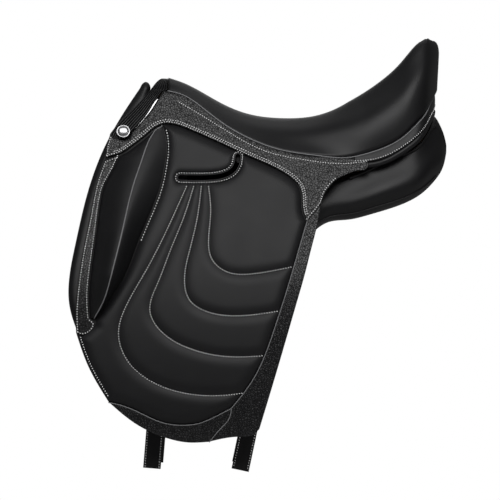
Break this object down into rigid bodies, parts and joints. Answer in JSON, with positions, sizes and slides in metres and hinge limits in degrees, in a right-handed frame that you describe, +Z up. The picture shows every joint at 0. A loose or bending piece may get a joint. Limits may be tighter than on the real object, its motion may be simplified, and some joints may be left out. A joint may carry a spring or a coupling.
{
  "type": "english saddle",
  "caption": "Black monoflap dressage saddle on a spring tree, with quilted flaps, outside knee blocks, long girth straps and flocked panels.",
  "frame": {"origin": "on the middle plane above the horse's spine, at the height where the flaps' slanted tops turn into their sweep; the saddle is held there by the horse's back", "axes": "+X to the cantle (rear), +Y to the rider's right, +Z up"},
  "size_m": [0.5173, 0.4144, 0.5923],
  "materials": {
    "smooth_leather": "smooth calf, satin",
    "grained_leather": "grained cowhide, semi-matt",
    "padding_leather": "soft padded calf, quilted with white thread",
    "panel_leather": "soft calf over wool flocking",
    "strap_leather": "edge-finished strap leather with white stitching",
    "facing_leather": "ribbed leather facing",
    "foam": "seat foam",
    "webbing": "woven strainer webbing",
    "timber": "laminated beech",
    "spring_steel": "spring steel",
    "bar_steel": "polished stainless",
    "stud_steel": "polished dome"
  },
  "bodies": {
    "tree_and_seat": {"bar_rivets_left": "bar_steel", "bar_rivets_right": "bar_steel", "cantle_band": "smooth_leather", "catch_pin_left": "bar_steel", "catch_pin_right": "bar_steel", "flap_hanger_left": "strap_leather", "flap_hanger_right": "strap_leather", "flap_head_left": "strap_leather", "flap_head_right": "strap_leather", "front_strap_root_left": "strap_leather", "front_strap_root_right": "strap_leather", "gullet_lining": "panel_leather", "head_plate": "spring_steel", "panel_front_left": "panel_leather", "panel_front_right": "panel_leather", "panel_left": "panel_leather", "panel_right": "panel_leather", "pommel_facing": "facing_leather", "pommel_stud_left": "stud_steel", "pommel_stud_right": "stud_steel", "rear_strap_root_left": "strap_leather", "rear_strap_root_right": "strap_leather", "seat_cover": "smooth_leather", "seat_foam": "foam", "seat_webbing": "webbing", "skirt_left": "grained_leather", "skirt_right": "grained_leather", "spring_rail_left": "spring_steel", "spring_rail_right": "spring_steel", "stirrup_bar_left": "bar_steel", "stirrup_bar_right": "bar_steel", "tree_frame": "timber", "tree_point_left": "spring_steel", "tree_point_right": "spring_steel"},
    "flap_left_group": {"flap_left": "strap_leather", "flap_padding_left": "padding_leather", "knee_block_left": "smooth_leather", "front_strip_left": "grained_leather", "rear_band_left": "grained_leather", "bottom_band_left": "grained_leather"},
    "front_strap_left_tail": {"front_strap_left": "strap_leather"},
    "rear_strap_left_tail": {"rear_strap_left": "strap_leather"},
    "bar_catch_left_lever": {"bar_catch_left": "bar_steel"},
    "flap_right_group": {"flap_right": "strap_leather", "flap_padding_right": "padding_leather", "knee_block_right": "smooth_leather", "front_strip_right": "grained_leather", "rear_band_right": "grained_leather", "bottom_band_right": "grained_leather"},
    "front_strap_right_tail": {"front_strap_right": "strap_leather"},
    "rear_strap_right_tail": {"rear_strap_right": "strap_leather"},
    "bar_catch_right_lever": {"bar_catch_right": "bar_steel"}
  },
  "joints": [
    {"name": "flap_lift_left", "type": "hinge", "parent": "tree_and_seat", "child": "flap_left_group", "pos_m": [-0.15764, -0.06004, 0.1425], "axis": [-0.9962, 0.0872, 0], "range_deg": [0, 30]},
    {"name": "front_strap_swing_left", "type": "hinge", "parent": "tree_and_seat", "child": "front_strap_left_tail", "pos_m": [-0.15416, -0.1487, -0.08], "axis": [-0.9966, 0, 0.0819], "range_deg": [-25, 8]},
    {"name": "rear_strap_swing_left", "type": "hinge", "parent": "tree_and_seat", "child": "rear_strap_left_tail", "pos_m": [0.00045, -0.16222, -0.08], "axis": [-0.9781, 0, 0.2079], "range_deg": [-25, 8]},
    {"name": "catch_turn_left", "type": "hinge", "parent": "tree_and_seat", "child": "bar_catch_left_lever", "pos_m": [-0.0693, -0.07944, 0.088], "axis": [-0.079, -0.9029, 0.4226], "range_deg": [0, 90]},
    {"name": "flap_lift_right", "type": "hinge", "parent": "tree_and_seat", "child": "flap_right_group", "pos_m": [-0.15764, 0.06004, 0.1425], "axis": [0.9962, 0.0872, 0], "range_deg": [0, 30]},
    {"name": "front_strap_swing_right", "type": "hinge", "parent": "tree_and_seat", "child": "front_strap_right_tail", "pos_m": [-0.15416, 0.1487, -0.08], "axis": [0.9966, 0, -0.0819], "range_deg": [-25, 8]},
    {"name": "rear_strap_swing_right", "type": "hinge", "parent": "tree_and_seat", "child": "rear_strap_right_tail", "pos_m": [0.00045, 0.16222, -0.08], "axis": [0.9781, 0, -0.2079], "range_deg": [-25, 8]},
    {"name": "catch_turn_right", "type": "hinge", "parent": "tree_and_seat", "child": "bar_catch_right_lever", "pos_m": [-0.0693, 0.07944, 0.088], "axis": [0.079, -0.9029, -0.4226], "range_deg": [0, 90]}
  ]
}
